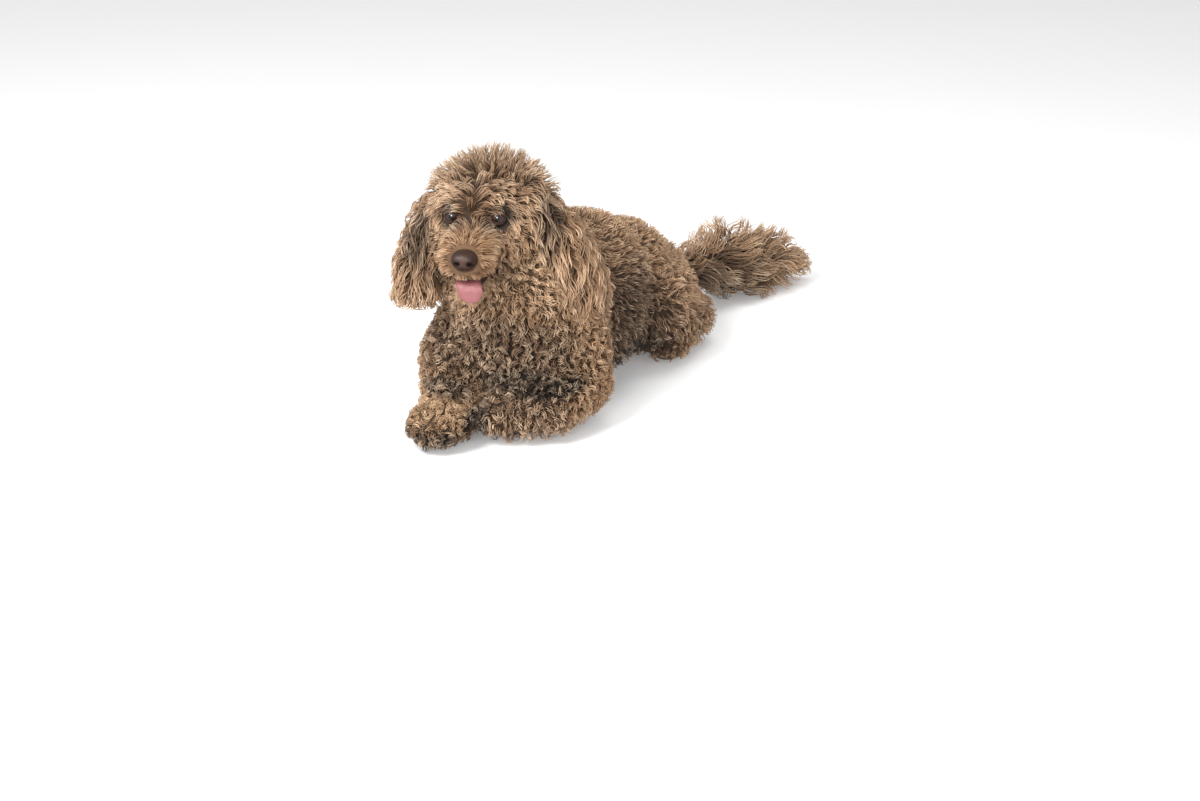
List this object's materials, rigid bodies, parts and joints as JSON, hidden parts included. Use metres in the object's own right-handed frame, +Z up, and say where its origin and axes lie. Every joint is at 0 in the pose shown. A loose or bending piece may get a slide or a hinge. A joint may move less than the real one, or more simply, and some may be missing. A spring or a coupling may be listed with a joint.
{
  "type": "poodle",
  "caption": "Life-size curly-coated poodle lying with its head up and mouth open, one forearm folded across its chest and its plumed tail laid back.",
  "frame": {"origin": "middle of the footprint's box, on the floor", "axes": "+Z up, the dog faces -Y with its tail towards +Y, and its left side is towards +X"},
  "size_m": [0.2406, 0.842, 0.317],
  "materials": {
    "coat": "curly brown hair, darker at the roots and sun-bleached at the tips",
    "nose": "pebbled liver-brown nose leather, slightly damp",
    "tongue": "wet pink tongue with a groove down its middle",
    "mouth": "dark wet lips and gums",
    "eye": "wet dark brown eye with a black pupil"
  },
  "bodies": {
    "root": {"head": "coat", "jaw": "coat", "nose": "nose", "tongue": "tongue", "eye_left": "eye", "eye_right": "eye", "ear_left": "coat", "ear_right": "coat", "neck": "coat", "trunk": "coat", "tail": "coat", "foreleg_left": "coat", "foreleg_right": "coat", "forepaw_left": "coat", "forepaw_right": "coat", "hindleg_left": "coat", "hindleg_right": "coat", "hindpaw_left": "coat", "hindpaw_right": "coat"}
  },
  "joints": []
}
